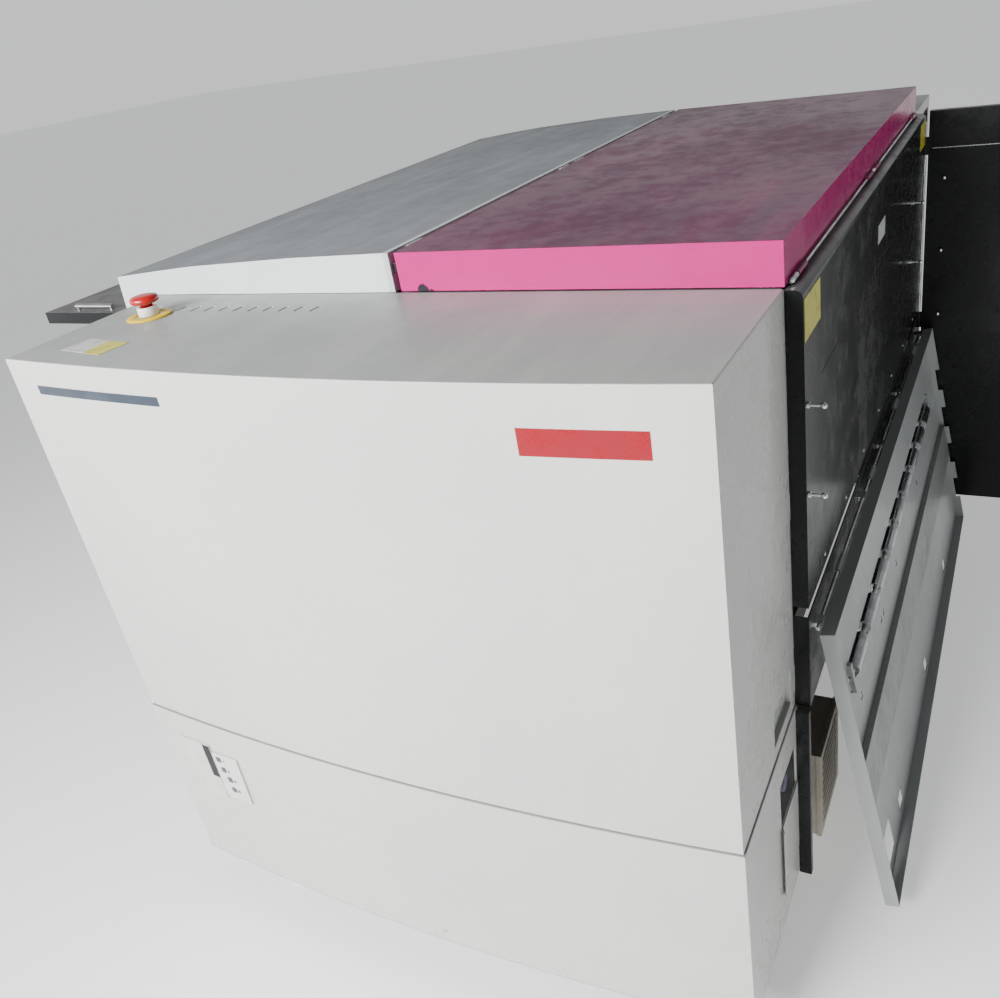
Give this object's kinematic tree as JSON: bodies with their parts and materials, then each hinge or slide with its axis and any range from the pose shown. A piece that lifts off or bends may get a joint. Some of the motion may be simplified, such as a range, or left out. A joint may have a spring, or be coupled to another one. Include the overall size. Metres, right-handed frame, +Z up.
{
  "type": "drum plate printer",
  "caption": "Large floor-standing drum plate printer with two lift-up lids, a feed table, a hanging unload table, a service door, an emergency stop and a keypad.",
  "frame": {"origin": "on the floor, under the middle of the machine", "axes": "+Z up, +X towards the unload side with the hanging table, -Y towards the operator end with the stop button and keypad"},
  "size_m": [2.118, 2.464, 1.433],
  "materials": {
    "cover_paint": "satin",
    "lid_grey": "satin",
    "lid_magenta": "satin",
    "black_paint": "satin",
    "table_grey": "satin",
    "frame_paint": "satin",
    "steel": "brushed",
    "chrome": "polished",
    "drum_metal": "machined",
    "roller_rubber": "matte",
    "pump_beige": "satin",
    "motor_black": "satin",
    "stop_yellow": "gloss",
    "stop_red": "gloss",
    "dark_plastic": "matte",
    "panel_plate": "satin",
    "display_black": "gloss",
    "keypad_film": "satin",
    "key_plastic": "satin",
    "connector_plastic": "satin",
    "label_film": "satin",
    "board_green": "matte"
  },
  "bodies": {
    "machine": {"base_frame": "frame_paint", "levelling_feet": "steel", "near_bulkhead": "frame_paint", "far_bulkhead": "frame_paint", "near_upper_cover": "cover_paint", "near_lower_cover": "cover_paint", "far_upper_cover": "cover_paint", "far_lower_cover": "cover_paint", "centre_beam": "black_paint", "rear_beam": "frame_paint", "front_panel": "black_paint", "corner_post": "black_paint", "grey_hinge_pin": "steel", "rear_hinge_pin": "steel", "rear_panel": "black_paint", "rear_sill": "black_paint", "panel_studs": "chrome", "feed_table": "black_paint", "feed_brackets": "black_paint", "feed_handle": "chrome", "drum_bearings": "steel", "drum_motor": "motor_black", "rail_beam": "frame_paint", "screw_blocks": "drum_metal", "screw_motor": "motor_black", "table_hinge": "steel", "pump_box": "pump_beige", "pump_grille": "pump_beige", "stop_ring": "stop_yellow", "stop_contacts": "dark_plastic", "control_plate": "panel_plate", "display_window": "display_black", "keypad_plate": "keypad_film", "cable_connector": "connector_plastic", "cable_plate": "cover_paint", "door_hinge_pin": "steel", "label_plates": "label_film", "electronics": "board_green"},
    "grey_cover": {"grey_lid": "lid_grey"},
    "magenta_cover": {"magenta_lid": "lid_magenta"},
    "unload": {"unload_table": "table_grey", "table_channel": "table_grey", "perforated_strip": "steel"},
    "support_rollers": {"roller_shaft": "steel", "table_rollers": "steel"},
    "door": {"service_door": "black_paint"},
    "drum_rotor": {"drum": "drum_metal", "plate_clamps": "steel", "drum_shaft": "steel"},
    "exposure_head": {"carriage": "drum_metal", "laser_head": "motor_black"},
    "screw_rotor": {"lead_screw": "steel"},
    "exit_top": {"exit_roller_top": "roller_rubber"},
    "exit_bottom": {"exit_roller_bottom": "roller_rubber"},
    "stop_head": {"stop_button": "stop_red"},
    "key_one": {"key_a": "key_plastic"},
    "key_two": {"key_b": "key_plastic"},
    "key_three": {"key_c": "key_plastic"},
    "key_four": {"key_d": "key_plastic"},
    "fan": {"fan_rotor": "dark_plastic"}
  },
  "joints": [
    {"name": "grey_lid_hinge", "type": "hinge", "parent": "machine", "child": "grey_cover", "pos_m": [-0.0445, 0, 1.428], "axis": [0, 1, 0], "range_deg": [0, 70]},
    {"name": "magenta_lid_hinge", "type": "hinge", "parent": "machine", "child": "magenta_cover", "pos_m": [0.6695, 0, 1.365], "axis": [0, 1, 0], "range_deg": [0, 75]},
    {"name": "unload_table_hinge", "type": "hinge", "parent": "machine", "child": "unload", "pos_m": [0.702, 0, 0.715], "axis": [0, -1, 0], "range_deg": [0, 79]},
    {"name": "support_roller_spin", "type": "hinge", "parent": "unload", "child": "support_rollers", "pos_m": [0.74536, 0, 0.54104], "axis": [0, 1, 0], "continuous": true},
    {"name": "service_door_hinge", "type": "hinge", "parent": "machine", "child": "door", "pos_m": [0.693, 0.828, 0.75], "axis": [0, 0, 1], "range_deg": [0, 90]},
    {"name": "drum_spin", "type": "hinge", "parent": "machine", "child": "drum_rotor", "pos_m": [-0.08, 0, 1.05], "axis": [0, 1, 0], "continuous": true},
    {"name": "carriage_slide", "type": "slide", "parent": "machine", "child": "exposure_head", "axis": [0, 1, 0], "range_m": [-0.6, 0.6]},
    {"name": "lead_screw_spin", "type": "hinge", "parent": "machine", "child": "screw_rotor", "pos_m": [0.35, 0, 0.955], "axis": [0, 1, 0], "continuous": true},
    {"name": "exit_roller_spin", "type": "hinge", "parent": "machine", "child": "exit_top", "pos_m": [0.618, 0, 0.7878], "axis": [0, 1, 0], "continuous": true},
    {"name": "exit_idler_spin", "type": "hinge", "parent": "machine", "child": "exit_bottom", "pos_m": [0.618, 0, 0.7462], "axis": [0, 1, 0], "continuous": true},
    {"name": "stop_press", "type": "slide", "parent": "machine", "child": "stop_head", "axis": [0, 0, -1], "range_m": [0, 0.006], "stiffness_N_per_m": 1200, "springref_m": -0.003},
    {"name": "key_a_press", "type": "slide", "parent": "machine", "child": "key_one", "axis": [0.0714, 0.9974, 0], "range_m": [0, 0.0012], "stiffness_N_per_m": 400, "springref_m": -0.0006},
    {"name": "key_b_press", "type": "slide", "parent": "machine", "child": "key_two", "axis": [0.0714, 0.9974, 0], "range_m": [0, 0.0012], "stiffness_N_per_m": 400, "springref_m": -0.0006},
    {"name": "key_c_press", "type": "slide", "parent": "machine", "child": "key_three", "axis": [0.0714, 0.9974, 0], "range_m": [0, 0.0012], "stiffness_N_per_m": 400, "springref_m": -0.0006},
    {"name": "key_d_press", "type": "slide", "parent": "machine", "child": "key_four", "axis": [0.0714, 0.9974, 0], "range_m": [0, 0.0012], "stiffness_N_per_m": 400, "springref_m": -0.0006},
    {"name": "fan_spin", "type": "hinge", "parent": "machine", "child": "fan", "pos_m": [0.528, 1.01, 0.48], "axis": [1, 0, 0], "continuous": true}
  ],
  "couplings": [
    {"joint": "lead_screw_spin", "follows": "carriage_slide", "rad_per_m": 314.16},
    {"joint": "exit_idler_spin", "follows": "exit_roller_spin", "ratio": -1}
  ]
}
